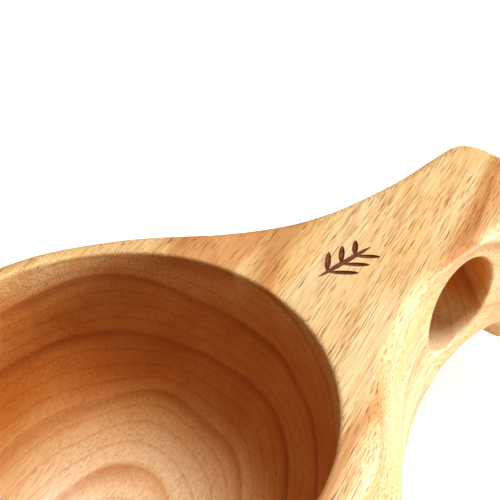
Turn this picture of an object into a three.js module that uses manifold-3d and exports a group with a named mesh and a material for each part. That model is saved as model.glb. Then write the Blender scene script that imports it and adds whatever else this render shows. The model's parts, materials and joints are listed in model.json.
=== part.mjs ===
// A kuksa: a drinking cup carved from one block of wood, with a round bowl and a
// handle that has a sideways finger hole, a finger rest below it and a tail.
//
// Millimetres, +Z up, +X from the bowl towards the handle's tail. The origin is the
// centre of the flat foot. The block is shaped whole and then parted by one saw cut
// at the root of the handle, so that bowl and handle are two separate solids.

import * as THREE from "three";
import { mergeVertices } from "three/addons/utils/BufferGeometryUtils.js";
import Module from "manifold-3d";

const wasm = await Module();
wasm.setup();

// ---- driving dimensions ----
const cupHeight = 61; // foot to rim; the handle's deck is level with the rim
const mouthRadius = 42; // inside of the rim
const rimRadius = 46.4; // outside of the rim
const bellyRadius = 52; // widest part of the wall
const bellyDepth = 25; // of the widest part below the rim
const footRadius = 28; // flat face the cup stands on
const hollowDepth = 50; // of the bowl's hollow
const outerCurve = { up: 2.3, out: 1.8 }; // exponents of the belly's turn into the foot
const innerCurve = { down: 2.6, out: 2.2 }; // exponents of the hollow's turn into its bottom
const lipRound = 1; // rounding of the inner edge of the rim

const handleEnd = 119.5; // bowl axis to the end of the handle
const waist = 14.2; // half-width of the handle beside the finger hole
const flareSlope = 0.72; // how fast the handle widens towards the bowl
const flareKnee = 61; // where the widening starts, from the bowl axis
const flareSoftness = 7.6; // length over which it starts
const tailFlare = { start: 88, widening: 1.5 }; // the handle widens again to its end
const cornerRound = 7; // corners of the handle's end, seen from above
const deckEndRound = 5; // where the deck turns down into the end

const underside = { x: 99.6, z: -41, radius: 66 }; // long arc below the handle
const rootLevel = 14; // lowest level of the handle, at root and tail
const tailFront = 108; // face of the tail that the second finger rests on
const restRound = 8; // between the underside's arc and the tail
const tailRound = 4; // lower edges of the tail

const fingerHole = { x: 83.3, z: 45.3, radius: 12.1 };

const motif = { x: 60.5, stem: 14, barb: 5.2, spread: 3.6, width: 1.2, depth: 0.7 };

const sawCut = 50; // from the bowl axis, across the root of the handle
const kerf = 0.3;

const turns = 72; // facets round the bowl
const wallRows = { foot: 14, rim: 6, hollow: 18, lip: 3 }; // rows up each part of the bowl's profile
const clear = 5; // how far a cutting shape stands clear of the wood
const reach = 200; // larger than the whole cup

// ---- shapes to solids ----

// A closed geometry as a manifold solid with its faces pointing out.
function solid(geometry) {
  geometry.deleteAttribute("normal");
  geometry.deleteAttribute("uv");
  const merged = mergeVertices(geometry, 1e-4);
  const place = merged.attributes.position;
  const index = merged.index.array;
  const [a, b, c] = [new THREE.Vector3(), new THREE.Vector3(), new THREE.Vector3()];
  let volume = 0;
  for (let i = 0; i < index.length; i += 3) {
    a.fromBufferAttribute(place, index[i]);
    b.fromBufferAttribute(place, index[i + 1]);
    c.fromBufferAttribute(place, index[i + 2]);
    volume += a.dot(b.cross(c));
  }
  const triVerts = Uint32Array.from(index);
  if (volume < 0) triVerts.reverse();
  const mesh = new wasm.Mesh({ numProp: 3, vertProperties: Float32Array.from(place.array), triVerts });
  return new wasm.Manifold(mesh);
}

// A profile of (radius, height) points turned about the Z axis.
function turned(points) {
  return solid(new THREE.LatheGeometry(points, turns).rotateX(Math.PI / 2));
}

// A plan outline raised through the whole height.
function raised(shape, low, high) {
  const geometry = new THREE.ExtrudeGeometry(shape, { depth: high - low, bevelEnabled: false, curveSegments: 8 });
  return solid(geometry.translate(0, 0, low));
}

// A side-view outline in X and Z, carried across the whole width.
function across(shape) {
  const geometry = new THREE.ExtrudeGeometry(shape, { depth: 2 * reach, bevelEnabled: false, curveSegments: 16 });
  return solid(geometry.rotateX(Math.PI / 2).translate(0, reach, 0));
}

// ---- bowl ----

// Outside: a flat foot, a round belly and a wall that draws in to the rim.
function bowlOutside() {
  const bellyHeight = cupHeight - bellyDepth;
  const points = [new THREE.Vector2(0, 0)];
  for (let i = 0; i <= wallRows.foot; i++) {
    const level = bellyHeight * (1 - Math.cos((i / wallRows.foot) * (Math.PI / 2)));
    const below = 1 - level / bellyHeight;
    const swell = Math.pow(1 - Math.pow(below, outerCurve.up), 1 / outerCurve.out);
    points.push(new THREE.Vector2(footRadius + (bellyRadius - footRadius) * swell, level));
  }
  for (let i = 1; i <= wallRows.rim; i++) {
    const above = i / wallRows.rim;
    const radius = bellyRadius - (bellyRadius - rimRadius) * above * above;
    points.push(new THREE.Vector2(radius, bellyHeight + bellyDepth * above));
  }
  points.push(new THREE.Vector2(0, cupHeight));
  return turned(points);
}

// Hollow: steep sides that turn into a rounded bottom, and a softened lip.
function bowlHollow() {
  const points = [];
  for (let i = 0; i <= wallRows.hollow; i++) {
    const angle = (i / wallRows.hollow) * (Math.PI / 2);
    const radius = mouthRadius * Math.pow(Math.sin(angle), 2 / innerCurve.out);
    const drop = hollowDepth * Math.pow(Math.cos(angle), 2 / innerCurve.down);
    points.push(new THREE.Vector2(i === 0 ? 0 : radius, cupHeight - Math.max(drop, lipRound)));
  }
  for (let i = 1; i <= wallRows.lip; i++) {
    const angle = (i / wallRows.lip) * (Math.PI / 2);
    const radius = mouthRadius + lipRound * (1 - Math.cos(angle));
    points.push(new THREE.Vector2(radius, cupHeight - lipRound * (1 - Math.sin(angle))));
  }
  points.push(new THREE.Vector2(mouthRadius + lipRound, cupHeight + clear));
  points.push(new THREE.Vector2(0, cupHeight + clear));
  return turned(points);
}

// ---- handle ----

// Half-width of the handle at a distance from the bowl axis: the waist, plus a
// flare that starts softly at the knee and then widens in a straight line, plus a
// slight widening towards the end.
function halfWidth(x) {
  const flare = flareSlope * flareSoftness * Math.log(1 + Math.exp((flareKnee - x) / flareSoftness));
  const tail = THREE.MathUtils.smoothstep(x, tailFlare.start, handleEnd) * tailFlare.widening;
  return waist + flare + tail;
}

// The handle from above: flared at the bowl, waisted, with two round corners.
function planOutline() {
  const start = 30; // inside the bowl, where the handle is hidden
  const stations = 16;
  const last = handleEnd - cornerRound;
  const shape = new THREE.Shape();
  shape.moveTo(0, -halfWidth(start));
  for (let i = 0; i <= stations; i++) {
    const x = start + ((last - start) * i) / stations;
    shape.lineTo(x, -halfWidth(x));
  }
  const side = halfWidth(last) - cornerRound;
  shape.absarc(last, -side, cornerRound, -Math.PI / 2, 0, false);
  shape.absarc(last, side, cornerRound, 0, Math.PI / 2, false);
  for (let i = stations; i >= 0; i--) {
    const x = start + ((last - start) * i) / stations;
    shape.lineTo(x, halfWidth(x));
  }
  shape.lineTo(0, halfWidth(start));
  shape.closePath();
  return shape;
}

// The handle from the side: level deck, round end, tail, finger rest, long arc.
function sideOutline() {
  const restTop = underside.z + underside.radius;
  const arcStart = Math.asin((rootLevel - underside.z) / underside.radius);
  const rest = tailFront - restRound;
  const shape = new THREE.Shape();
  shape.moveTo(0, cupHeight);
  shape.lineTo(0, rootLevel);
  shape.absarc(underside.x, underside.z, underside.radius, Math.PI - arcStart, Math.PI / 2, true);
  shape.lineTo(rest, restTop);
  shape.absarc(rest, restTop - restRound, restRound, Math.PI / 2, 0, true);
  shape.absarc(tailFront + tailRound, rootLevel + tailRound, tailRound, Math.PI, 1.5 * Math.PI, false);
  shape.absarc(handleEnd - tailRound, rootLevel + tailRound, tailRound, -Math.PI / 2, 0, false);
  shape.absarc(handleEnd - deckEndRound, cupHeight - deckEndRound, deckEndRound, 0, Math.PI / 2, false);
  shape.closePath();
  return shape;
}

// ---- burnt-in motif: a straight-cut fir sprig on the deck ----

// One stroke with pointed ends, sunk into the deck.
function stroke(x, y, length, angle) {
  const half = motif.width / 2;
  const shape = new THREE.Shape();
  shape.moveTo(0, 0);
  shape.lineTo(motif.width, -half);
  shape.lineTo(length - motif.width, -half);
  shape.lineTo(length, 0);
  shape.lineTo(length - motif.width, half);
  shape.lineTo(motif.width, half);
  shape.closePath();
  const geometry = new THREE.ExtrudeGeometry(shape, { depth: motif.depth + clear, bevelEnabled: false });
  geometry.rotateZ(angle).translate(x, y, cupHeight - motif.depth);
  return solid(geometry);
}

// A stem along the handle with three pairs of barbs.
function sprig() {
  const start = motif.x - motif.stem / 2;
  let cut = stroke(start, 0, motif.stem, 0);
  for (const pair of [1, 2, 3]) {
    for (const side of [-1, 1]) {
      const x = start + pair * motif.spread - motif.width;
      cut = cut.add(stroke(x, side * motif.width, motif.barb, (side * Math.PI) / 4));
    }
  }
  return cut;
}

// ---- the carved block, and the saw cut ----

// The finger hole, straight through the handle from side to side.
function boredHole() {
  const bore = new THREE.CylinderGeometry(fingerHole.radius, fingerHole.radius, 2 * reach, 48);
  return solid(bore.translate(fingerHole.x, 0, fingerHole.z));
}

function carvedBlock() {
  const grip = raised(planOutline(), 0, cupHeight).intersect(across(sideOutline()));
  return bowlOutside().add(grip).subtract(bowlHollow()).subtract(boredHole()).subtract(sprig());
}

// A box that holds everything from one X to another.
function slab(low, high) {
  const box = new THREE.BoxGeometry(high - low, 2 * reach, 2 * reach);
  return solid(box.translate((low + high) / 2, 0, 0));
}

// A manifold solid as a named mesh.
function piece(name, shape, material) {
  const { vertProperties, triVerts } = shape.getMesh();
  const geometry = new THREE.BufferGeometry();
  geometry.setAttribute("position", new THREE.BufferAttribute(Float32Array.from(vertProperties), 3));
  geometry.setIndex(new THREE.BufferAttribute(Uint32Array.from(triVerts), 1));
  geometry.computeVertexNormals();
  const mesh = new THREE.Mesh(geometry, material);
  mesh.name = name;
  return mesh;
}

const wood = new THREE.MeshStandardMaterial({ color: 0xeec48c, roughness: 0.55, metalness: 0 });
const block = carvedBlock();
const cup = new THREE.Group();
cup.add(piece("bowl", block.intersect(slab(-reach, sawCut)), wood));
cup.add(piece("handle", block.intersect(slab(sawCut + kerf, reach)), wood));

export default cup;
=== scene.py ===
# %% [markdown]
# # A kuksa, a wooden drinking cup
# A kuksa is carved from one block of wood: a round bowl on a flat foot, and a level
# handle with a sideways finger hole. The CAD model gives its sizes, and this file
# gives it the soft, carved surface, the grain and the light.
#
# Shapes are worked out in millimetres, with +X towards the handle's tail and +Z up,
# and become metres when a mesh is made.

import json
import math

import bmesh
import bpy
import numpy as np
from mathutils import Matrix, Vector


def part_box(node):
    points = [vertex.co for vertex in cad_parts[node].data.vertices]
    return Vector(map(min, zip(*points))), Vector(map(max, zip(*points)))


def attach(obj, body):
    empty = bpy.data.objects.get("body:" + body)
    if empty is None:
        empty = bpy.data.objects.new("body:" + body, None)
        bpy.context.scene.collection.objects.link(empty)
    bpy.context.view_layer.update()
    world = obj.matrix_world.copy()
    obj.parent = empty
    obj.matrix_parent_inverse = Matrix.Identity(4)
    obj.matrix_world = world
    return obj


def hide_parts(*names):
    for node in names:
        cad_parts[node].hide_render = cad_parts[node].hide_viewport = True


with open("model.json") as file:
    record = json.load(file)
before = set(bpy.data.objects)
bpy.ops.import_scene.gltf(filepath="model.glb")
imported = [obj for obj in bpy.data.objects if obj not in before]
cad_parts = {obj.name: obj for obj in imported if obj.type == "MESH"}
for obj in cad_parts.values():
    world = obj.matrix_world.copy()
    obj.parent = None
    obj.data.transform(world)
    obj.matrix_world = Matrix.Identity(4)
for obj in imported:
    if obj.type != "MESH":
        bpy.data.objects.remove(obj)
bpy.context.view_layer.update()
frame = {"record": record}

MM = 0.001
bowl_low, bowl_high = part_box("bowl")
handle_low, handle_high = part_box("handle")
openings = {o["name"]: o["box_m"] for o in frame["record"]["physics"]["openings"]}

HEIGHT = bowl_high.z / MM
BELLY_RADIUS = -bowl_low.x / MM
HANDLE_END = handle_high.x / MM
SAW_PLANE = (bowl_high.x + handle_low.x) / 2 / MM
hole_low, hole_high = np.array(openings["finger_hole"]) / MM
HOLE_X = (hole_low[0] + hole_high[0]) / 2
HOLE_Z = (hole_low[2] + hole_high[2]) / 2
print(f"cup {HEIGHT:.1f} mm high, belly {BELLY_RADIUS:.1f}, handle end {HANDLE_END:.1f}")
print(f"finger hole at x {HOLE_X:.1f}, z {HOLE_Z:.1f}; saw plane at x {SAW_PLANE:.2f}")

# %% [markdown]
# ## How solids flow into each other
# A carver rounds every place where two shapes meet. Here each shape is a formula
# that is negative inside the wood and positive outside, and two formulas are joined
# with a minimum or a maximum whose corner is rounded. The rounding is what makes the
# neck grow out of the bowl without a line.

# %% Rounded minimum and maximum
def soft_min(a, b, blend):
    """The smaller of a and b, with the corner between them rounded over blend."""
    share = np.clip(0.5 + 0.5 * (b - a) / blend, 0, 1)
    return b + (a - b) * share - blend * share * (1 - share)


def soft_max(a, b, blend):
    """The larger of a and b, with the corner between them rounded over blend."""
    return -soft_min(-a, -b, blend)


def smooth_step(t):
    """0 below 0, 1 above 1, and an even S-shaped rise between them."""
    t = np.clip(t, 0, 1)
    return t * t * (3 - 2 * t)


print("half-way between two equal walls:", soft_min(0.0, 0.0, 6.0), "mm")

# %% [markdown]
# ## The bowl and the handle as formulas
# The bowl is a turned form: its outside swells from the foot to the belly and draws
# in to the rim. The handle is the part of the block that is left between two
# outlines, one seen from above (a waist that flares into the bowl) and one seen from
# the side (a long arc, the finger rest and the tail). The deck is planed level with
# the rim, so both are cut off by one plane with a softly rounded crest.

# %% Outside of the cup
RIM_RADIUS = 46.3
BELLY_DEPTH = 25.0  # of the widest part, below the rim
FOOT_RADIUS = 28.0
FOOT_FALL, FOOT_BULGE = 2.3, 1.8  # exponents of the belly's turn into the foot
WAIST = 14.2  # half-width of the handle beside the finger hole
FLARE_SLOPE = 0.72
FLARE_KNEE = 61.0
FLARE_SOFTNESS = 7.6
KNEE_SHIFT = 0.42  # how far the knee moves out for each millimetre down
KNEE_REACH = 28.0  # the depth at which that movement dies away
TAIL_START = 88.0
TAIL_FLARE = 1.9
UNDERSIDE_X, UNDERSIDE_Z, UNDERSIDE_RADIUS = 99.6, -41.0, 66.0
TAIL_FRONT = 108.0
TAIL_LOW = 13.5
CREST_BLEND = 2.5  # rounding between the deck and the sides
SIDE_BLEND = 7.0  # rounding along the lower edges of the handle
REST_BLEND = 10.0  # rounding between the long arc and the tail
TAIL_BLEND = 7.0  # rounding of the tail's lower edges
END_BLEND = 6.0  # rounding of the handle's end
FOOT_BLEND = 3.0  # rounding round the foot
PLAN_SLANT = 0.82  # the flare's sides are slanted, so the true distance is shorter
ROOT_START, ROOT_BLEND = 22.0, 20.0  # where the handle fades away inside the bowl
NECK_BLEND, NECK_GROWTH = 6.0, 0.22  # rounding at the neck, and its growth with depth


def bowl_radius(z):
    """Radius of the bowl's outside at a height: a parabola from belly to rim, and a
    flattened ellipse from belly to foot."""
    belly = HEIGHT - BELLY_DEPTH
    above = np.clip((z - belly) / BELLY_DEPTH, 0, 1.3)
    below = np.clip((belly - z) / belly, 0, 1)
    wall = BELLY_RADIUS - (BELLY_RADIUS - RIM_RADIUS) * above**2
    turn = np.clip(1 - below**FOOT_FALL, 1e-6, 1) ** (1 / FOOT_BULGE)
    return np.where(z > belly, wall, FOOT_RADIUS + (BELLY_RADIUS - FOOT_RADIUS) * turn)


def handle_half_width(x, z):
    """Half of the handle's width: the waist, a flare that starts softly at a knee and
    then widens in a straight line, and a little more at the end. Lower down the
    knee lies further out, so the root is wider below than on the deck."""
    depth = np.clip(HEIGHT - z, 0, 60)
    knee = FLARE_KNEE + KNEE_SHIFT * KNEE_REACH * np.tanh(depth / KNEE_REACH)
    flare = FLARE_SLOPE * FLARE_SOFTNESS * np.logaddexp(0, (knee - x) / FLARE_SOFTNESS)
    end = TAIL_FLARE * smooth_step((x - TAIL_START) / (HANDLE_END - TAIL_START))
    return WAIST + flare + end


def outside(x, y, z):
    """About the distance from the wood's outer skin, negative inside. The finger hole
    and the bowl's hollow are not in it: they get surfaces of their own."""
    steep = np.clip(bowl_radius(z + 0.5) - bowl_radius(z - 0.5), -3, 3)
    bowl = (np.hypot(x, y) - bowl_radius(z)) / np.sqrt(1 + steep**2)
    arc = np.hypot(x - UNDERSIDE_X, z - UNDERSIDE_Z) - UNDERSIDE_RADIUS
    finger_room = soft_max(arc, x - TAIL_FRONT, REST_BLEND)
    side_view = soft_max(-finger_room, TAIL_LOW - z, TAIL_BLEND)
    side_view = soft_max(side_view, x - HANDLE_END, END_BLEND)
    plan_view = (np.abs(y) - handle_half_width(x, z)) * PLAN_SLANT
    grip = soft_max(side_view, plan_view, SIDE_BLEND)
    grip = soft_max(grip, ROOT_START - x, ROOT_BLEND)
    neck = NECK_BLEND + NECK_GROWTH * np.clip(HEIGHT - z, 0, 50)
    whole = soft_max(soft_min(bowl, grip, neck), -z, FOOT_BLEND)
    return soft_max(whole, z - HEIGHT, CREST_BLEND)


print("inside the rim:", outside(-44.0, 0.0, 50.0).round(2), "mm")

# %% [markdown]
# ## Finding the skin
# A formula says where the wood is, but a mesh needs points on its skin. Each point
# is found with a ray: it starts inside the wood, walks outwards in steps as long as
# the distance that is left, and then halves the last step until it is exact. All
# rays walk together as one array, so thousands take well under a second.

# %% Rays from inside the wood to its skin
MOST_STEPS = 90
HALVINGS = 22
CAUTION = 0.9  # share of the remaining distance that one step takes
SHORTEST_STEP, LONGEST_STEP = 0.08, 12.0


def to_skin(start, direction):
    """Distance along each ray to the first place where the wood ends."""
    walked = np.zeros(len(start))
    before = np.zeros(len(start))
    ended = np.zeros(len(start), bool)
    for _ in range(MOST_STEPS):
        place = start + direction * walked[:, None]
        depth = outside(*place.T)
        ended |= depth > 0
        before = np.where(ended, before, walked)
        step = np.clip(-depth * CAUTION, SHORTEST_STEP, LONGEST_STEP)
        walked = np.where(ended, walked, walked + step)
        if ended.all():
            break
    low, high = before, walked
    for _ in range(HALVINGS):
        middle = (low + high) / 2
        out = outside(*(start + direction * middle[:, None]).T) > 0
        high = np.where(out, middle, high)
        low = np.where(out, low, middle)
    return (low + high) / 2


def unit(v):
    """Each vector at length one."""
    return v / np.linalg.norm(v, axis=-1, keepdims=True)


reach = to_skin(np.array([[0.0, 0.0, 36.0]]), np.array([[-1.0, 0.0, 0.0]]))
print("belly found at", reach.round(2), "mm")

# %% [markdown]
# ## Columns of the net
# The skin is one net of columns and rows, like the staves and hoops of a barrel. A
# column starts at the mouth of the bowl or on the middle line of the deck, crosses
# the deck to its crest, and runs down the side to the foot or to the middle of the
# underside. Only the half with +Y is made, because a kuksa is alike on both sides.
#
# Round the bowl the columns stand in a circle. Along the handle a short table says
# how they turn from one direction to the next, and the columns between are evenly
# shared out.

# %% Where each column starts and where it is aimed
LIP_ROUND = 0.8
MOUTH_RADIUS = 42.0
LIP_RADIUS = MOUTH_RADIUS + LIP_ROUND
BACK_COLUMNS, NECK_COLUMNS, HANDLE_COLUMNS = 96, 60, 130
NECK_TURN = 62  # degrees from +X at which the neck's columns begin
DECK_TURN = 45  # direction of the first column that starts on the deck
BACKBONE_LEVEL, BACKBONE_RISE = 36, 4  # height at the back, and its rise at the neck
BACKBONE_END = 60  # how far the backbone goes along X while the columns cross the neck

# start on the deck, direction from above, backbone x and z, aim x and z, share of columns
HANDLE_KEYS = np.array([
    (LIP_RADIUS, DECK_TURN, 60.0, 40, 60.0, 0.0, 0.00),
    (60.0, 66, 67.3, 42, 67.3, 0.0, 0.12),
    (75.0, 82, 77.0, 43, 77.0, 0.0, 0.24),
    (88.0, 90, 88.0, 43, 88.0, 0.0, 0.37),
    (95.0, 90, 95.0, 41, 95.0, 10.0, 0.45),
    (99.5, 90, 100.0, 38, 99.5, 20.0, 0.53),
    (103.0, 90, 105.0, 35, 104.5, 21.0, 0.61),
    (106.0, 88, 109.0, 32, 107.5, 18.0, 0.69),
    (108.5, 76, 111.0, 31, 110.0, 14.0, 0.77),
    (110.5, 52, 112.0, 30, 112.0, 13.0, 0.86),
    (111.5, 25, 112.0, 30, 113.5, 13.0, 0.94),
    (112.0, 0, 112.0, 30, 115.0, 13.0, 1.00),
])


def column_plan():
    """For each column: its start on the deck, its direction from above, its backbone
    point inside the wood and the point that its foot is aimed at."""
    turn = np.linspace(180, NECK_TURN, BACK_COLUMNS, endpoint=False)
    zero = 0 * turn
    x, y = LIP_RADIUS * np.cos(np.radians(turn)), LIP_RADIUS * np.sin(np.radians(turn))
    back = np.stack([x, y, turn, zero, zero + BACKBONE_LEVEL, zero, zero], 1)
    s = np.linspace(0, 1, NECK_COLUMNS, endpoint=False)
    turn = np.radians(NECK_TURN * (1 - s))
    x, y = LIP_RADIUS * np.cos(turn), LIP_RADIUS * np.sin(turn)
    direction = NECK_TURN - (NECK_TURN - DECK_TURN) * s
    forward = BACKBONE_END * s
    height = BACKBONE_LEVEL + BACKBONE_RISE * s
    neck = np.stack([x, y, direction, forward, height, forward, 0 * s], 1)
    s = np.linspace(0, 1, HANDLE_COLUMNS)
    keys = [np.interp(s, HANDLE_KEYS[:, 6], HANDLE_KEYS[:, i]) for i in range(6)]
    grip = np.stack([keys[0], 0 * s, *keys[1:]], 1)
    plan = np.concatenate([back, neck, grip])
    start = np.stack([plan[:, 0], plan[:, 1], np.full(len(plan), HEIGHT)], 1)
    bearing = np.radians(plan[:, 2])
    backbone = np.stack([plan[:, 3], np.zeros(len(plan)), plan[:, 4]], 1)
    aim = np.stack([plan[:, 5], np.zeros(len(plan)), plan[:, 6]], 1)
    return start, bearing, backbone, aim


start, bearing, backbone, aim = column_plan()
COLUMNS = len(start)
print(COLUMNS, "columns, of which", BACK_COLUMNS + NECK_COLUMNS, "start at the mouth")

# %% [markdown]
# ## The side of the cup
# From its backbone point, each column sweeps from the crest of the deck round to its
# foot, and a ray finds the skin in every direction. The rows are then spread so that
# each takes an equal share of length plus bend: tight turns get more rows than flat
# ones, which keeps the crest and the tail's edges crisp.

# %% Sweep each column down its side
SIDE_ROWS = 72
FINE_ROWS = 200
BEND_WEIGHT = 4.0  # one radian of bend counts as this many millimetres
SMOOTHINGS = 24  # times that each column's rows are averaged with its neighbours'


def sweep(first, last, share):
    """Directions between two directions, by their share of the angle between them."""
    angle = np.arccos(np.clip((first * last).sum(1), -1, 1))[:, None]
    a = np.sin((1 - share) * angle)[..., None] * first[:, None]
    b = np.sin(share * angle)[..., None] * last[:, None]
    return (a + b) / np.sin(angle)[..., None]


def skin_along(first, last, share):
    """Points on the skin, one row of them for each column's backbone point."""
    direction = sweep(first, last, share)
    origin = np.repeat(backbone[:, None], share.shape[1], 1)
    length = to_skin(origin.reshape(-1, 3), direction.reshape(-1, 3))
    return origin + direction * length.reshape(origin.shape[:2])[..., None]


def even_rows(points, share):
    """Row positions that split each column's length plus bend into equal parts, and
    that change slowly from column to column."""
    step = np.diff(points, axis=1)
    length = np.linalg.norm(step, axis=2)
    heading = step / np.maximum(length, 1e-9)[..., None]
    cosine = (heading[:, 1:] * heading[:, :-1]).sum(2)
    bend = np.zeros(points.shape[:2])
    bend[:, 1:-1] = np.arccos(np.clip(cosine, -1, 1))
    spread = np.stack([np.roll(bend, k, axis=1) for k in range(-3, 4)]).mean(0)
    worth = length + BEND_WEIGHT * (spread[:, 1:] + spread[:, :-1]) / 2
    total = np.concatenate([np.zeros((COLUMNS, 1)), np.cumsum(worth, axis=1)], 1)
    total /= total[:, -1:]
    rows = np.linspace(0, 1, SIDE_ROWS)
    even = np.stack([np.interp(rows, column, share[0]) for column in total])
    for _ in range(SMOOTHINGS):
        even[1:-1] = (even[:-2] + 2 * even[1:-1] + even[2:]) / 4
    return even


outward = np.stack([np.cos(bearing), np.sin(bearing), 0 * bearing], 1)
outward[0] = (-1, 0, 0)
outward[-1] = (1, 0, 0)
below_crest = start - (0, 0, CREST_BLEND * 0.9)
crest = below_crest + outward * to_skin(below_crest, outward)[:, None]
crest[:, 2] = HEIGHT
to_crest, to_foot = unit(crest - backbone), unit(aim - backbone)
to_foot[:BACK_COLUMNS] = (0, 0, -1)

fine = np.repeat(np.linspace(0, 1, FINE_ROWS)[None], COLUMNS, 0)
rows = even_rows(skin_along(to_crest, to_foot, fine), fine)
side = skin_along(to_crest, to_foot, rows)
side[:BACK_COLUMNS, -1] = 0
side[[0, -1], :, 1] = 0
side[:, -1, 1] = 0
print("side net", side.shape, "reaches x", side[..., 0].max().round(2), "mm")

# %% [markdown]
# ## The deck
# The deck is flat, so its columns run straight from their start to the crest. Rows
# crowd together near the crest, where the flat begins to round over, and a ray
# straight up finds the height there.

# %% Straight columns across the deck
DECK_ROWS = 26
DECK_CROWDING = 1.8  # exponent that crowds the rows near the crest
RAY_START = 8  # below the deck, where the rays begin


def deck_net(first, last):
    """Straight lines in plan from first to last, with rows closer near the last, each
    lifted to the skin."""
    share = (1 - (1 - np.linspace(0, 1, DECK_ROWS)) ** DECK_CROWDING)[None, :, None]
    plan = first[:, None, :2] + (last[:, None, :2] - first[:, None, :2]) * share
    below = np.concatenate([plan, np.full(plan.shape[:2] + (1,), HEIGHT - RAY_START)], 2)
    upward = np.tile((0.0, 0.0, 1.0), (below[..., 0].size, 1))
    rise = to_skin(below.reshape(-1, 3), upward).reshape(below.shape[:2])
    below[..., 2] += rise
    below[:, 0], below[:, -1] = first, last
    return below


deck = deck_net(start, side[:, 0])
deck[[0, -1], :, 1] = 0
deck[BACK_COLUMNS + NECK_COLUMNS:, 0, 1] = 0
print("deck net", deck.shape)

# %% [markdown]
# ## The finger hole
# The hole is bored sideways through the handle. A round hole doesn't fit a net of
# straight columns, so a window is left out of the net and filled with rings that
# change from the window's outline to a circle. The rings follow the curved side of
# the handle. Then the rim is rounded over and the bore goes in to the middle plane,
# where it meets its mirror image.

# %% Rings from a window in the side net to the bore
HOLE_RADIUS = 12.1
HOLE_EDGE = 0.8
RING_ROWS = 10
EDGE_ROWS = 5
BORE_ROWS = 14
MARGIN_LEFT, MARGIN_RIGHT, MARGIN_TOP, MARGIN_LOW = 2.6, 3.0, 2.2, 3.4
LEVEL_ROW = 20  # row of the side net that runs across the hole
EVENNESS = 0.25  # how much the outline's points are shared out evenly round the hole


def window_outline():
    """Column and row numbers of the window's outline in order round the hole, with
    the window's first and last column and row."""
    level = side[BACK_COLUMNS + NECK_COLUMNS:, LEVEL_ROW, 0]
    ends = (HOLE_X - HOLE_RADIUS - MARGIN_LEFT, HOLE_X + HOLE_RADIUS + MARGIN_RIGHT)
    near = np.abs(level[:, None] - ends)
    left, right = near.argmin(0) + BACK_COLUMNS + NECK_COLUMNS
    middle = side[(left + right) // 2, :, 2]
    top = np.abs(middle - (HOLE_Z + HOLE_RADIUS + MARGIN_TOP)).argmin()
    low = np.abs(middle - (HOLE_Z - HOLE_RADIUS - MARGIN_LOW)).argmin()
    columns = np.concatenate([np.arange(left, right), np.full(low - top, right),
                              np.arange(right, left, -1), np.full(low - top, left)])
    lines = np.concatenate([np.full(right - left, top), np.arange(top, low),
                            np.full(right - left, low), np.arange(low, top, -1)])
    return columns, lines, (left, right, top, low)


def skin_beside(x, z):
    """Half-width of the wood beside each point of the middle plane."""
    flat = np.stack([x.ravel(), 0 * x.ravel(), z.ravel()], 1)
    sideways = np.tile((0.0, 1.0, 0.0), (len(flat), 1))
    return to_skin(flat, sideways).reshape(x.shape)


def hole_net(outline):
    """Rings from the outline to a circle, a quarter-round edge, and the bore."""
    spread = np.unwrap(np.arctan2(outline[:, 2] - HOLE_Z, outline[:, 0] - HOLE_X))
    even = spread[0] + np.linspace(0, spread[-1] - spread[0], len(spread))
    angle = (1 - EVENNESS) * spread + EVENNESS * even
    around = np.stack([np.cos(angle), np.sin(angle)], 1)
    share = np.linspace(0, 1, RING_ROWS)[:, None, None]
    circle = np.array([HOLE_X, HOLE_Z]) + (HOLE_RADIUS + HOLE_EDGE) * around
    ring = outline[None, :, [0, 2]] * (1 - share) + circle[None] * share
    width = skin_beside(ring[..., 0], ring[..., 1])
    rings = np.stack([ring[..., 0], width, ring[..., 1]], 2)
    rings[0] = outline
    turn = np.linspace(0, np.pi / 2, EDGE_ROWS)[1:, None]
    radius = HOLE_RADIUS + HOLE_EDGE * (1 - np.sin(turn))
    depth = width[-1][None] - HOLE_EDGE * (1 - np.cos(turn))
    inward = np.linspace(1, 0, BORE_ROWS)[1:, None]
    radius = np.concatenate([radius, 0 * inward + HOLE_RADIUS])
    depth = np.concatenate([depth, depth[-1][None] * inward])
    bore_x = HOLE_X + radius * around[None, :, 0]
    bore_z = HOLE_Z + radius * around[None, :, 1]
    bore = np.stack([bore_x, depth, bore_z], 2)
    return np.concatenate([rings, bore])


window_columns, window_rows, window = window_outline()
hole = hole_net(side[window_columns, window_rows])
print("hole net", hole.shape, "through", (2 * hole[RING_ROWS, :, 1].max()).round(1), "mm")

# %% [markdown]
# ## The lip and the hollow
# The inside of a kuksa is scooped with a bent knife and sanded: steep sides that
# turn into a rounded bottom. Its profile is a flattened ellipse, turned about the
# bowl's axis with the same columns as the deck, so that the two meet point to point
# over a small quarter-round lip.

# %% Turn the lip and the hollow
HOLLOW_DEPTH = 50.0
HOLLOW_OUT, HOLLOW_DOWN = 2.2, 2.6  # how square the hollow's profile is, each way
LIP_ROWS = 6
HOLLOW_ROWS = 56


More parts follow.
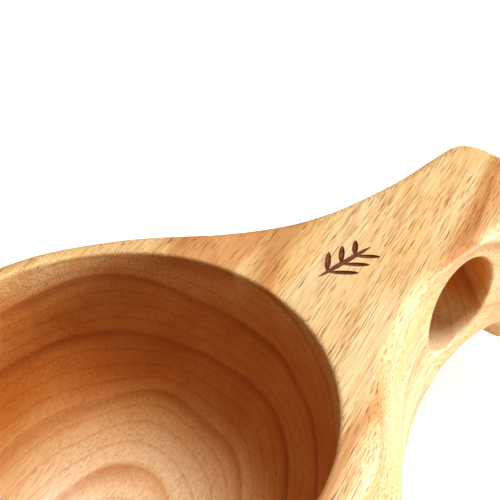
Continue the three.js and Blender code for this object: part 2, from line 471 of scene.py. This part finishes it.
def hollow_net(mouth):
    """A quarter-round lip, then a flattened ellipse down to its lowest point: its
    radius is the mouth's times sin(a)^(2/out), its drop is the depth times
    cos(a)^(2/down), while a goes from a right angle to nothing."""
    turn = np.linspace(0, np.pi / 2, LIP_ROWS)[:-1]
    lip_radius = MOUTH_RADIUS + LIP_ROUND * (1 - np.sin(turn))
    lip_drop = LIP_ROUND * (1 - np.cos(turn))
    a = np.linspace(np.pi / 2, 0, HOLLOW_ROWS)
    wall_radius = MOUTH_RADIUS * np.sin(a) ** (2 / HOLLOW_OUT)
    wall_drop = HOLLOW_DEPTH * np.clip(np.cos(a), 0, 1) ** (2 / HOLLOW_DOWN)
    wall_drop = LIP_ROUND + wall_drop * (1 - LIP_ROUND / HOLLOW_DEPTH)
    radius = np.concatenate([lip_radius, wall_radius])
    drop = np.concatenate([lip_drop, wall_drop])
    around = np.arctan2(mouth[:, 1], mouth[:, 0])
    x = np.cos(around)[:, None] * radius[None]
    y = np.sin(around)[:, None] * radius[None]
    y[[0, -1]] = 0
    z = np.repeat(HEIGHT - drop[None], len(mouth), 0)
    net = np.stack([x, y, z], 2)
    net[:, 0] = mouth
    return net


mouth = deck[:BACK_COLUMNS + NECK_COLUMNS + 1, 0]
hollow = hollow_net(mouth)
hollow[:, -1, :2] = 0
radii = np.hypot(hollow[0, :-1, 0], hollow[0, :-1, 1])
slices = np.pi * (radii[1:] ** 2 + radii[:-1] ** 2) / 2 * -np.diff(hollow[0, :-1, 2])
print("the hollow holds about", round(slices.sum() / 1000), "ml")

# %% [markdown]
# ## One half, then the whole
# The nets are lists of quads. They are laid side by side, mirrored to -Y and welded
# where they meet. The welded skin is closed, so its faces can be turned outwards
# all together.

# %% Quads, mirror image and weld
def net_quads(net, skip=None, closed=False):
    """Corner numbers of a net's quads. skip leaves out a window of columns and rows,
    and closed joins the last point of each ring to its first."""
    number = np.arange(net.shape[0] * net.shape[1]).reshape(net.shape[:2])
    if closed:
        number = np.concatenate([number, number[:, :1]], 1)
    quads = np.stack([number[:-1, :-1], number[1:, :-1], number[1:, 1:], number[:-1, 1:]], 2)
    if skip is None:
        return quads.reshape(-1, 4)
    left, right, top, low = skip
    keep = np.ones(quads.shape[:2], bool)
    keep[left:right, top:low] = False
    return quads[keep]


def joined(nets):
    """All points and all quads of several (net, quads) pairs as two arrays."""
    points = np.concatenate([net.reshape(-1, 3) for net, _ in nets])
    offsets = np.cumsum([0] + [net.shape[0] * net.shape[1] for net, _ in nets[:-1]])
    quads = np.concatenate([quads + k for (_, quads), k in zip(nets, offsets)])
    return points, quads


def mesh_from(name, points, faces, weld=0.0):
    """A mesh in metres from points in millimetres, welded, closed up and with its
    faces pointing outwards."""
    mesh = bpy.data.meshes.new(name)
    mesh.from_pydata((points * MM).tolist(), [], faces.tolist())
    shape = bmesh.new()
    shape.from_mesh(mesh)
    if weld:
        bmesh.ops.remove_doubles(shape, verts=shape.verts, dist=weld * MM)
    bmesh.ops.recalc_face_normals(shape, faces=shape.faces)
    shape.to_mesh(mesh)
    shape.free()
    return mesh


half_points, half_quads = joined([
    (deck, net_quads(deck)),
    (side, net_quads(side, skip=window)),
    (hole, net_quads(hole, closed=True)),
    (hollow, net_quads(hollow)),
])
mirrored = half_points * (1, -1, 1)
all_points = np.concatenate([half_points, mirrored])
all_quads = np.concatenate([half_quads, half_quads[:, ::-1] + len(half_points)])
cup_mesh = mesh_from("carved_cup", all_points, all_quads, weld=0.001)


def open_edges(mesh):
    """Number of edges that don't have exactly two faces."""
    edge_of_corner = np.zeros(len(mesh.loops), np.int32)
    mesh.loops.foreach_get("edge_index", edge_of_corner)
    faces_of_edge = np.bincount(edge_of_corner, minlength=len(mesh.edges))
    return int((faces_of_edge != 2).sum())


print(len(cup_mesh.polygons), "faces,", open_edges(cup_mesh), "open edges")

# %% [markdown]
# ## Bowl and handle
# The CAD model parts the block by one saw cut across the root of the handle. The
# skin is parted at the same plane and each side gets a flat cap, so there are two
# closed pieces that touch, and no line shows where the grain runs across.

# %% Part the skin at the saw plane
def part_at_plane(mesh, name, keep_handle):
    """A copy of the mesh on one side of the saw plane, with a flat cap on the cut."""
    shape = bmesh.new()
    shape.from_mesh(mesh)
    cut = bmesh.ops.bisect_plane(
        shape,
        geom=shape.verts[:] + shape.edges[:] + shape.faces[:],
        dist=1e-7,
        plane_co=(SAW_PLANE * MM, 0, 0),
        plane_no=(1, 0, 0),
        clear_inner=keep_handle,
        clear_outer=not keep_handle,
    )
    rim = [e for e in cut["geom_cut"] if isinstance(e, bmesh.types.BMEdge)]
    cap = bmesh.ops.holes_fill(shape, edges=rim, sides=0)["faces"]
    bmesh.ops.recalc_face_normals(shape, faces=shape.faces)
    part = bpy.data.meshes.new(name)
    shape.to_mesh(part)
    shape.free()
    piece = bpy.data.objects.new(name, part)
    bpy.context.scene.collection.objects.link(piece)
    faces = len(part.polygons)
    print(name, faces, "faces,", len(cap), "cap,", open_edges(part), "open edges")
    return piece


bowl_piece = part_at_plane(cup_mesh, "carved_bowl", keep_handle=False)
handle_piece = part_at_plane(cup_mesh, "carved_handle", keep_handle=True)

# %% [markdown]
# ## The burnt sprig
# Makers often burn a small mark into the deck with a hot wire. Here it is a fir
# sprig of seven straight strokes. A hot wire leaves a groove that is shaped like a
# canoe: pointed at both ends and round at the bottom. Seven canoes are cut out of
# the deck, and the cut faces get a burnt finish of their own.

# %% Seven canoe-shaped strokes
SPRIG_X = 60.5
STEM_LENGTH = 16.0
BARB_LENGTH = 6.6
BARB_SPREAD = 4.1
STROKE_WIDTH = 1.3
STROKE_DEPTH = 0.55
STROKE_LIFT = 0.12  # how far the canoe's middle lies above the deck
STROKE_FULLNESS = 2.4
STROKE_POINT = 0.7
STROKE_STATIONS, STROKE_SIDES = 25, 16
BARB_ANGLE = 42  # degrees from the stem
BARB_OFFSET = 0.2  # from the stem's middle line


def canoe(x, y, length, angle):
    """A closed canoe: circles squashed to an ellipse, with a radius that falls to
    nothing at both ends as 1 - |2u - 1|^fullness, to the power point."""
    u = np.linspace(0, 1, STROKE_STATIONS)[:, None]
    around = np.linspace(0, 2 * np.pi, STROKE_SIDES, endpoint=False)[None]
    full = np.clip(1 - np.abs(2 * u - 1) ** STROKE_FULLNESS, 0, 1) ** STROKE_POINT
    along = length * u + 0 * around
    across = STROKE_WIDTH / 2 * full * np.cos(around)
    up = HEIGHT + STROKE_LIFT + (STROKE_DEPTH + STROKE_LIFT) * full * np.sin(around)
    c, s = math.cos(angle), math.sin(angle)
    return np.stack([x + along * c - across * s, y + along * s + across * c, up], 2)


stem_start = SPRIG_X - STEM_LENGTH / 2
strokes = [canoe(stem_start, 0, STEM_LENGTH, 0)]
for pair in (1, 2, 3):
    for hand in (-1, 1):
        barb_x = stem_start + pair * BARB_SPREAD - STROKE_WIDTH
        angle = hand * math.radians(BARB_ANGLE)
        length = BARB_LENGTH * (1.1 - 0.1 * pair)  # shorter towards the tip
        strokes.append(canoe(barb_x, hand * BARB_OFFSET, length, angle))

sprig_points, sprig_quads = joined([(s, net_quads(s, closed=True)) for s in strokes])
sprig_mesh = mesh_from("sprig_cutter", sprig_points, sprig_quads, weld=0.0005)
sprig = bpy.data.objects.new("sprig_cutter", sprig_mesh)
bpy.context.scene.collection.objects.link(sprig)
print(len(strokes), "strokes,", open_edges(sprig_mesh), "open edges")

# %% [markdown]
# ## Finishes come from shared node groups
# Wood is a solid with a pattern all through it, so its colour is worked out from the
# place in the block and not from the surface. That gives long streaks on the deck,
# nested curves in the hollow and dots on end grain, all from the same numbers. Each
# effect is a node group with named inputs and outputs, built once and then placed in
# a material with values of its own.

# %% Helpers for node trees
class Tree:
    """A node tree with short ways to add nodes and to link them."""

    def __init__(self, tree):
        self.tree = tree

    def add(self, kind, **values):
        """A new node, with its own settings given by name."""
        node = self.tree.nodes.new(kind)
        for name, value in values.items():
            setattr(node, name, value)
        return node

    def feed(self, node, index, value):
        """Link an input to a socket, or set it to a plain number or colour."""
        if isinstance(value, bpy.types.NodeSocket):
            self.tree.links.new(value, node.inputs[index])
        else:
            node.inputs[index].default_value = value

    def math(self, operation, a, b=None, clamp=False):
        """One step of arithmetic on one or two values."""
        node = self.add("ShaderNodeMath", operation=operation, use_clamp=clamp)
        self.feed(node, 0, a)
        if b is not None:
            self.feed(node, 1, b)
        return node.outputs[0]

    def split(self, vector):
        """The three parts of a vector."""
        node = self.add("ShaderNodeSeparateXYZ")
        self.feed(node, 0, vector)
        return node.outputs[:]

    def length(self, a, b):
        """Length of a step a one way and b square to it."""
        squares = self.math("ADD", self.math("MULTIPLY", a, a), self.math("MULTIPLY", b, b))
        return self.math("SQRT", squares)

    def noise(self, vector, cells, detail, roughness=0.5, shift=(0.0, 0.0, 0.0)):
        """Noise with so many cells to a metre along each axis."""
        place = self.add("ShaderNodeMapping")
        self.feed(place, "Vector", vector)
        self.feed(place, "Scale", cells)
        self.feed(place, "Location", shift)
        node = self.add("ShaderNodeTexNoise")
        self.feed(node, "Vector", place.outputs[0])
        self.feed(node, "Scale", 1.0)
        self.feed(node, "Detail", detail)
        self.feed(node, "Roughness", roughness)
        return node.outputs["Fac"]

    def between(self, value, low, high, to_low=0.0, to_high=1.0):
        """Map a range to another one with a smooth start and end."""
        node = self.add("ShaderNodeMapRange", interpolation_type="SMOOTHSTEP")
        for index, number in enumerate((value, low, high, to_low, to_high)):
            self.feed(node, index, number)
        return node.outputs[0]

    def mix(self, factor, a, b, blend="MIX"):
        """Colour a turned towards colour b by a factor."""
        node = self.add("ShaderNodeMix", data_type="RGBA", blend_type=blend)
        self.feed(node, 0, factor)
        self.feed(node, 6, a)
        self.feed(node, 7, b)
        return node.outputs[2]


def new_group(name, inputs, outputs):
    """An empty node group with named sockets, and its input and output nodes."""
    group = bpy.data.node_groups.new(name, "ShaderNodeTree")
    for socket, kind in inputs:
        group.interface.new_socket(socket, in_out="INPUT", socket_type="NodeSocket" + kind)
    for socket, kind in outputs:
        group.interface.new_socket(socket, in_out="OUTPUT", socket_type="NodeSocket" + kind)
    tree = Tree(group)
    return group, tree, tree.add("NodeGroupInput"), tree.add("NodeGroupOutput")


def srgb(red, green, blue):
    """A screen colour, 0 to 255, as the linear colour that a shader takes."""
    c = np.array([red, green, blue]) / 255
    linear = np.where(c < 0.04045, c / 12.92, ((c + 0.055) / 1.055) ** 2.4)
    return (*linear.tolist(), 1.0)


print("middle grey as linear light:", round(srgb(128, 128, 128)[0], 3))

# %% [markdown]
# ## Growth layers
# A tree adds a layer each year. In a small block cut far from the heart these layers
# are long sheets, gently bent and a little uneven, and they cut the hollow in nested
# curves. Each is the distance from a far axis plus slow noise, folded into bands,
# with a thin dark line at the end of every band.

# %% The growth layer group
HEART_Y, HEART_Z = 0.018, -0.045  # the axis of the tree, in metres across the grain
HEART_LEAN = 0.07  # how much that axis dives along the grain


def make_growth_layers():
    """Bands and thin lines from the distance to the tree's heart plus slow noise."""
    group, tree, source, result = new_group(
        "growth_layers",
        [("Vector", "Vector"), ("Spacing", "Float"), ("Waviness", "Float")],
        [("Band", "Float"), ("Line", "Float")],
    )
    slow = tree.noise(source.outputs["Vector"], (10.0, 26.0, 26.0), detail=1.5)
    x, y, z = tree.split(source.outputs["Vector"])
    beside = tree.math("SUBTRACT", y, HEART_Y)
    above = tree.math("SUBTRACT", z, HEART_Z)
    above = tree.math("ADD", above, tree.math("MULTIPLY", x, HEART_LEAN))
    distance = tree.length(beside, above)
    waver = tree.math("MULTIPLY", tree.math("SUBTRACT", slow, 0.5), source.outputs["Waviness"])
    age = tree.math("DIVIDE", tree.math("ADD", distance, waver), source.outputs["Spacing"])
    phase = tree.math("FRACT", age)
    tree.feed(result, "Band", phase)
    rise = tree.between(phase, 0.72, 0.93)
    fall = tree.between(phase, 0.93, 1.0, 1.0, 0.0)
    tree.feed(result, "Line", tree.math("MULTIPLY", rise, fall))
    return group


growth_layers = make_growth_layers()
print("group", growth_layers.name, "ready")

# %% [markdown]
# ## Pores and fibres
# This wood has open pores: thin tubes along the grain that show as short dark dashes
# where the surface runs with them and as dots where it cuts across. Between them lie
# fine fibres. Both are noise that is stretched along the grain, and only the peaks
# of the first are kept, so the dashes are scattered and not striped.

# %% The pore and fibre group
PORE_LIMIT = 0.736  # noise above this is a pore
PORE_CRISPNESS = 22.0


def make_pores():
    """A mask of scattered dashes along the grain, and fine even fibres."""
    group, tree, source, result = new_group(
        "pores_and_fibres",
        [("Vector", "Vector"), ("Amount", "Float")],
        [("Pore", "Float"), ("Fibre", "Float")],
    )
    place = source.outputs["Vector"]
    long = tree.noise(place, (95.0, 5200.0, 5200.0), detail=0.3)
    short = tree.noise(place, (150.0, 7000.0, 7000.0), detail=0.4, shift=(7.3, 1.9, 4.4))
    patch = tree.noise(place, (30.0, 120.0, 120.0), detail=1.0)
    more = tree.math("MULTIPLY", patch, source.outputs["Amount"])
    limit = tree.math("SUBTRACT", PORE_LIMIT, more)
    over = tree.math("SUBTRACT", tree.math("MAXIMUM", long, short), limit)
    tree.feed(result, "Pore", tree.math("MULTIPLY", over, PORE_CRISPNESS, clamp=True))
    fibre = tree.noise(place, (36.0, 2400.0, 2400.0), detail=3.0, roughness=0.6,
                       shift=(1.7, 6.1, 2.2))
    tree.feed(result, "Fibre", fibre)
    return group


pores_and_fibres = make_pores()
print("group", pores_and_fibres.name, "ready")

# %% [markdown]
# ## Streaks of darker heart
# No block is one colour. This one has a pinkish patch of darker heart on the far
# side of the neck, and a straight streak of it along the near crest. Both run with
# the grain, so a mask in grain coordinates places them, and slow noise frays them.

# %% The heart streak group
PATCH_X, PATCH_Y = 0.0510, 0.0030  # middle of the patch, in metres along and across
BAND_Y = -0.0435


def make_heart_streaks():
    """Near one in an oval and in a flat band along the grain, with frayed edges, and
    nothing below the deck."""
    group, tree, source, result = new_group(
        "heart_streaks", [("Vector", "Vector")], [("Mask", "Float")])
    fray = tree.noise(source.outputs["Vector"], (60.0, 220.0, 220.0), detail=3.0)
    fray = tree.math("MULTIPLY", tree.math("SUBTRACT", fray, 0.5), 0.008)
    x, y, z = tree.split(source.outputs["Vector"])
    along = tree.math("MULTIPLY", tree.math("SUBTRACT", x, PATCH_X), 0.5)
    from_patch = tree.length(along, tree.math("SUBTRACT", y, PATCH_Y))
    patch = tree.between(tree.math("ADD", from_patch, fray), 0.0072, 0.0092, 0.85, 0.0)
    beside_band = tree.math("SUBTRACT", y, BAND_Y)
    from_band = tree.math("ABSOLUTE", tree.math("ADD", beside_band, fray))
    band = tree.between(from_band, 0.0012, 0.0036, 0.6, 0.0)
    near_deck = tree.between(z, 0.0545, 0.0585)
    both = tree.math("MAXIMUM", patch, band)
    tree.feed(result, "Mask", tree.math("MULTIPLY", both, near_deck))
    return group


heart_streaks = make_heart_streaks()
print("group", heart_streaks.name, "ready")

# %% [markdown]
# ## Painted shade in the hollow and the bore
# The walls of the hollow and of the finger hole cut across the grain. A mask finds
# those walls from their place and gives them painted shade: inside the mouth and
# below the rim but above the rounded bottom, and deep in the bore but not in its
# lower corner. The bore gets the darkest painted shade, so its mask goes above one.
# A second mask is one everywhere in the hollow and in the bore, because the scooped
# and bored wood is sanded smoother and shows fewer pores.

# %% The painted shade group
BORE_SHADE_BOOST = 1.6  # how much darker the bore's painted shade is than the hollow wall's


def make_painted_shade_walls():
    """Mask says how much painted shade the walls of the hollow and the bore get.
    Scooped is one wherever wood was scooped or bored out."""
    group, tree, source, result = new_group(
        "painted_shade_walls", [("Vector", "Vector")], [("Mask", "Float"), ("Scooped", "Float")])
    x, y, z = tree.split(source.outputs["Vector"])
    radius = tree.length(x, y)
    inside_mouth = tree.between(radius, 0.0419, 0.0425, 1.0, 0.0)
    below_rim = tree.between(z, 0.046, 0.0608, 1.0, 0.0)
    above_bottom = tree.between(z, 0.013, 0.032)
    hollow_wall = tree.math("MULTIPLY", inside_mouth, below_rim)
    from_hole_x = tree.math("SUBTRACT", x, HOLE_X * MM)
    from_hole_z = tree.math("SUBTRACT", z, HOLE_Z * MM)
    from_axis = tree.length(from_hole_x, from_hole_z)
    inside_bore = tree.between(from_axis, 0.0122, 0.0126, 1.0, 0.0)
    tree.feed(result, "Scooped", tree.math("MAXIMUM", hollow_wall, inside_bore))
    # painted shade on the hollow's walls, down to the rounded bottom
    hollow_wall = tree.math("MULTIPLY", hollow_wall, above_bottom)
    # painted shade in the bore: darker deep inside, none in its lower corner
    deep = tree.between(tree.math("ABSOLUTE", y), 0.009, 0.0142, 1.0, 0.4)
    bore_wall = tree.math("MULTIPLY", inside_bore, deep)
    from_corner = tree.between(tree.math("ADD", from_hole_x, from_hole_z), -0.005, 0.009)
    bore_wall = tree.math("MULTIPLY", bore_wall, from_corner)
    bore_wall = tree.math("MULTIPLY", bore_wall, BORE_SHADE_BOOST)
    tree.feed(result, "Mask", tree.math("MAXIMUM", hollow_wall, bore_wall))
    return group


painted_shade_walls = make_painted_shade_walls()
print("group", painted_shade_walls.name, "ready")

# %% [markdown]
# ## Colours and the run of the grain
# The block's grain runs at an angle to the handle, as it often does where a maker
# takes the strongest line through a crooked piece. A Mapping node turns object
# coordinates until X lies along the grain, so every pattern can be long in X and
# short in Y and Z. The colours are screen colours, which are easier to judge by eye
# than linear ones.

# %% Colours and grain coordinates
GRAIN_ANGLE = math.radians(22)
GRAIN_DIVE = math.radians(1)  # how steeply the grain leaves the level of the deck
CREAM = srgb(251, 226, 180)
HONEY = srgb(242, 194, 126)
TAN = srgb(224, 160, 110)
LINE_BROWN = srgb(196, 128, 66)
PORE_BROWN = srgb(166, 94, 36)
# painted light: the paler colour of the hollow's bottom and the bore's lower corner
PAINTED_LIGHT_PALE = srgb(250, 230, 198)
PAINTED_SHADE_AMBER = (0.80, 0.56, 0.32, 1.0)  # painted shade: the deep amber multiplied into the walls of the hollow and the bore
CHAR = srgb(112, 66, 40)
SCORCH = srgb(152, 100, 64)


def grain_coordinates(tree):
    """Object coordinates turned so that X runs along the grain."""
    place = tree.add("ShaderNodeTexCoord")
    turn = tree.add("ShaderNodeMapping", vector_type="POINT")
    tree.feed(turn, "Vector", place.outputs["Object"])
    turn.inputs["Rotation"].default_value = (0.0, GRAIN_DIVE, -GRAIN_ANGLE)
    return turn.outputs[0]


def add_group(tree, group, vector, **values):
    """Place a node group in a material with its own values."""
    node = tree.add("ShaderNodeGroup", node_tree=group)
    tree.feed(node, "Vector", vector)
    for name, value in values.items():
        tree.feed(node, name, value)
    return node


def new_material(name):
    """A material with only a Principled BSDF and its output."""
    material = bpy.data.materials.new(name)
    material.use_nodes = True
    tree = Tree(material.node_tree)
    shader = next(n for n in tree.tree.nodes if n.type == "BSDF_PRINCIPLED")
    return material, tree, shader


print("grain runs", round(math.degrees(GRAIN_ANGLE)), "degrees from the handle")

# %% [markdown]
# ## The wood finish
# The cup is finely sanded and lightly oiled: pale honey-coloured wood with a faint
# satin sheen. Slow noise shifts the colour between cream, honey and a pinkish tan,
# the growth lines and pores darken it, painted shade darkens the walls of the hollow
# and the bore, painted light pales the hollow's bottom and the bore's lower corner,
# and the pores and fibres make a very fine relief.

# %% Sanded wood
def make_wood():
    """Sanded, lightly oiled pale wood with growth lines, pores and fibres."""
    material, tree, shader = new_material("sanded_wood")
    grain = grain_coordinates(tree)
    layers = add_group(tree, growth_layers, grain, Spacing=0.0125, Waviness=0.022)
    fine_layers = add_group(tree, growth_layers, grain, Spacing=0.0031, Waviness=0.016)
    tubes = add_group(tree, pores_and_fibres, grain, Amount=0.16)
    cloud = tree.noise(grain, (14.0, 130.0, 130.0), detail=4.0, roughness=0.62)
    warm = tree.noise(grain, (11.0, 30.0, 30.0), detail=1.0, shift=(3.1, 8.2, 5.5))
    colour = tree.mix(tree.between(cloud, 0.26, 0.74), CREAM, HONEY)
    colour = tree.mix(tree.between(warm, 0.54, 0.74, 0.0, 0.5), colour, TAN)
    heart = add_group(tree, heart_streaks, grain).outputs["Mask"]
    colour = tree.mix(heart, colour, TAN)
    place = tree.add("ShaderNodeTexCoord").outputs["Object"]
    recess = add_group(tree, painted_shade_walls, place)
    painted_shade, scooped = recess.outputs["Mask"], recess.outputs["Scooped"]
    # painted light: where wood is scooped but has little painted shade, on the hollow's bottom
    # and in the bore's lower corner, the colour is turned paler
    painted_light_floor = tree.math("SUBTRACT", scooped, painted_shade, clamp=True)
    colour = tree.mix(tree.math("MULTIPLY", painted_light_floor, 0.8), colour, PAINTED_LIGHT_PALE)
    band = tree.math("MULTIPLY", layers.outputs["Band"], 0.3)
    colour = tree.mix(band, colour, HONEY)
    fine_line = tree.math("MULTIPLY", fine_layers.outputs["Line"], 0.22)
    colour = tree.mix(fine_line, colour, LINE_BROWN)
    uneven = tree.between(warm, 0.38, 0.6, 0.66, 0.3)
    late_wood = tree.math("MULTIPLY", layers.outputs["Line"], uneven)
    colour = tree.mix(late_wood, colour, LINE_BROWN)
    fibre = tree.between(tubes.outputs["Fibre"], 0.4, 0.7, 0.0, 0.3)
    colour = tree.mix(fibre, colour, LINE_BROWN)
    pore_depth = tree.between(scooped, 0, 1, 0.8, 0.25)
    open_pore = tree.math("MULTIPLY", tubes.outputs["Pore"], pore_depth)
    colour = tree.mix(open_pore, colour, PORE_BROWN)
    # painted shade: the walls of the hollow and the bore are multiplied towards deep amber, a
    # second time where the bore's mask goes above one
    colour = tree.mix(painted_shade, colour, PAINTED_SHADE_AMBER, blend="MULTIPLY")
    deeper_painted_shade = tree.math("SUBTRACT", painted_shade, 1.0, clamp=True)
    colour = tree.mix(deeper_painted_shade, colour, PAINTED_SHADE_AMBER, blend="MULTIPLY")
    tree.feed(shader, "Base Color", colour)
    rough = tree.between(tubes.outputs["Fibre"], 0.25, 0.75, 0.44, 0.6)
    tree.feed(shader, "Roughness", rough)
    relief = tree.math("SUBTRACT", tree.math("MULTIPLY", tubes.outputs["Fibre"], 0.25),
                       tubes.outputs["Pore"])
    bump = tree.add("ShaderNodeBump")
    tree.feed(bump, "Height", relief)
    tree.feed(bump, "Strength", 0.35)
    tree.feed(bump, "Distance", 0.00012)
    tree.feed(shader, "Normal", bump.outputs[0])
    shader.inputs["Coat Weight"].default_value = 0.25
    shader.inputs["Coat Roughness"].default_value = 0.38
    return material


wood = make_wood()
print("material", wood.name)

# %% [markdown]
# ## The burnt finish
# The hot wire chars the bottom of each stroke. Charred wood is matt and mottled, with
# spots that are only scorched, so one noise sets its colour, its roughness and its
# crumbly relief. The fibres still show a little.

# %% Burnt wood
def make_burnt():
    """The floor of the burnt strokes: charred brown with lighter scorched spots."""
    material, tree, shader = new_material("burnt_wood")
    grain = grain_coordinates(tree)
    tubes = add_group(tree, pores_and_fibres, grain, Amount=0.1)
    mottle = tree.noise(grain, (700.0, 1400.0, 1400.0), detail=3.0)
    colour = tree.mix(tree.between(mottle, 0.35, 0.7), CHAR, SCORCH)
    colour = tree.mix(tree.math("MULTIPLY", tubes.outputs["Fibre"], 0.2), colour, SCORCH)
    tree.feed(shader, "Base Color", colour)
    tree.feed(shader, "Roughness", tree.between(mottle, 0.3, 0.7, 0.6, 0.8))
    bump = tree.add("ShaderNodeBump")
    tree.feed(bump, "Height", mottle)
    tree.feed(bump, "Strength", 0.4)
    tree.feed(bump, "Distance", 0.0001)
    tree.feed(shader, "Normal", bump.outputs[0])
    return material


burnt = make_burnt()
print("material", burnt.name)

# %% [markdown]
# ## Cut the sprig and finish both pieces
# The cutter carries the burnt finish, so the Boolean gives it to the faces that it
# cuts. All faces are smooth except where two meet at a real corner, such as the edge
# of a stroke or the flat cap at the saw cut.

# %% Cut, shade and put the pieces on the frame
handle_piece.data.materials.append(wood)
bowl_piece.data.materials.append(wood)
sprig_mesh.materials.append(burnt)

cut = handle_piece.modifiers.new("sprig", "BOOLEAN")
cut.object = sprig
cut.operation = "DIFFERENCE"
cut.solver = "EXACT"
cut.use_self = True
cut.material_mode = "TRANSFER"
bpy.context.view_layer.update()
evaluated = handle_piece.evaluated_get(bpy.context.evaluated_depsgraph_get())
carved = bpy.data.meshes.new_from_object(evaluated)
handle_piece.modifiers.clear()
handle_piece.data = carved
carved.name = "carved_handle"
bpy.data.objects.remove(sprig)

for piece, node in ((bowl_piece, "bowl"), (handle_piece, "handle")):
    piece.data.shade_smooth()
    piece.data.set_sharp_from_angle(angle=math.radians(32))
    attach(piece, "root")
    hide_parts(node)
    faces = len(piece.data.polygons)
    print(piece.name, faces, "faces,", open_edges(piece.data), "open edges,",
          [m.name for m in piece.data.materials])

# %% [markdown]
# ## Floor
# The cup stands on a plain pale floor. A little glow of its own keeps the floor white
# where the camera sees it, while the cup gets hardly any of that glow. The sheet lies
# a hair below the foot, so that the two faces don't flicker into each other.

# %% Pale floor
FLOOR_HALF = 0.9
FLOOR_LEVEL = -0.0003


def make_floor():
    """A wide flat sheet just below the foot."""
    half, level = FLOOR_HALF, FLOOR_LEVEL
    corners = [(-half, -half, level), (half, -half, level),
               (half, half, level), (-half, half, level)]
    mesh = bpy.data.meshes.new("floor")
    mesh.from_pydata(corners, [], [(0, 1, 2, 3)])
    floor = bpy.data.objects.new("floor", mesh)
    bpy.context.scene.collection.objects.link(floor)
    material, tree, shader = new_material("pale_floor")
    shader.inputs["Base Color"].default_value = (0.93, 0.93, 0.92, 1)
    shader.inputs["Roughness"].default_value = 0.9
    shader.inputs["Emission Color"].default_value = (1, 1, 1, 1)
    seen = tree.add("ShaderNodeLightPath").outputs["Is Camera Ray"]
    tree.feed(shader, "Emission Strength", tree.between(seen, 0, 1, 0.06, 0.4))
    mesh.materials.append(material)
    return floor


floor = make_floor()
print("floor", floor.name)

# %% [markdown]
# ## Light
# Two soft panels light the cup, as in a small studio. The key panel stands high over
# the handle and lights the deck. The side panel stands low and beyond the near side
# of the handle: it brightens the side of the neck and leaves the wall of the hollow
# in warm shade. Shadows are soft because the panels are large for so small a cup, and
# a pale room fills them a little.

# %% Soft light
def soft_panel(name, place, target, size, power, colour=(1.0, 1.0, 1.0)):
    """A square area light at a place, turned to face a target."""
    light = bpy.data.lights.new(name, "AREA")
    light.shape = "SQUARE"
    light.size = size
    light.energy = power
    light.color = colour
    panel = bpy.data.objects.new(name, light)
    panel.location = place
    from_target = np.array(place) - np.array(target)
    panel.rotation_euler = Vector(from_target).to_track_quat("Z", "Y").to_euler()
    bpy.context.scene.collection.objects.link(panel)
    return panel


def towards(bearing, height, distance):
    """A place at a bearing and a height in degrees, seen from the middle of the cup."""
    flat = distance * math.cos(math.radians(height))
    x = MIDDLE[0] + flat * math.cos(math.radians(bearing))
    y = MIDDLE[1] + flat * math.sin(math.radians(bearing))
    return x, y, MIDDLE[2] + distance * math.sin(math.radians(height))


MIDDLE = (0.03, 0.0, 0.04)
PANEL_SIZE, PANEL_DISTANCE = 0.3, 1.1
COOL_WHITE = (0.85, 0.93, 1.0)
soft_panel("key", towards(-10, 68, PANEL_DISTANCE), MIDDLE, PANEL_SIZE, 7.7)
soft_panel("side", towards(-46, 12, PANEL_DISTANCE), MIDDLE, PANEL_SIZE, 7.4, COOL_WHITE)
print("two panels,", PANEL_DISTANCE, "m away")

ROOM_LIGHT = 0.10
sky = bpy.data.worlds.new("pale_room")
sky.use_nodes = True
background = next(n for n in sky.node_tree.nodes if n.type == "BACKGROUND")
background.inputs["Color"].default_value = (1.0, 1.0, 1.0, 1.0)
sky_tree = Tree(sky.node_tree)
seen = sky_tree.add("ShaderNodeLightPath").outputs["Is Camera Ray"]
sky_tree.feed(background, "Strength", sky_tree.between(seen, 0, 1, ROOM_LIGHT, 0.95))
bpy.context.scene.world = sky
bpy.context.scene.view_settings.view_transform = "Standard"
bpy.context.scene.view_settings.look = "High Contrast"
print("room light", ROOM_LIGHT)

# %% [markdown]
# ## Camera
# It stands behind the bowl and looks over it towards the handle, from about forty
# degrees above and close enough that the cup fills the view. The lens is a little
# long, which keeps the bowl's near wall from looking swollen.

# %% Place the camera
def aimed_camera(place, forward, lens):
    """A camera at a place that looks along a direction, without roll."""
    data = bpy.data.cameras.new("camera")
    data.lens = lens
    data.sensor_width = 36.0
    camera = bpy.data.objects.new("camera", data)
    camera.location = place
    camera.rotation_euler = Vector(forward).to_track_quat("-Z", "Y").to_euler()
    bpy.context.scene.collection.objects.link(camera)
    return camera


CAMERA_PLACE = (-0.046687, -0.096412, 0.179902)
BEARING = math.radians(50)
DIP = math.radians(39.04)  # how far it looks down
LENS = 63.2
level = math.cos(DIP)
forward = (level * math.cos(BEARING), level * math.sin(BEARING), -math.sin(DIP))
camera = aimed_camera(CAMERA_PLACE, forward, LENS)
bpy.context.scene.camera = camera
print("camera lens", camera.data.lens, "mm")
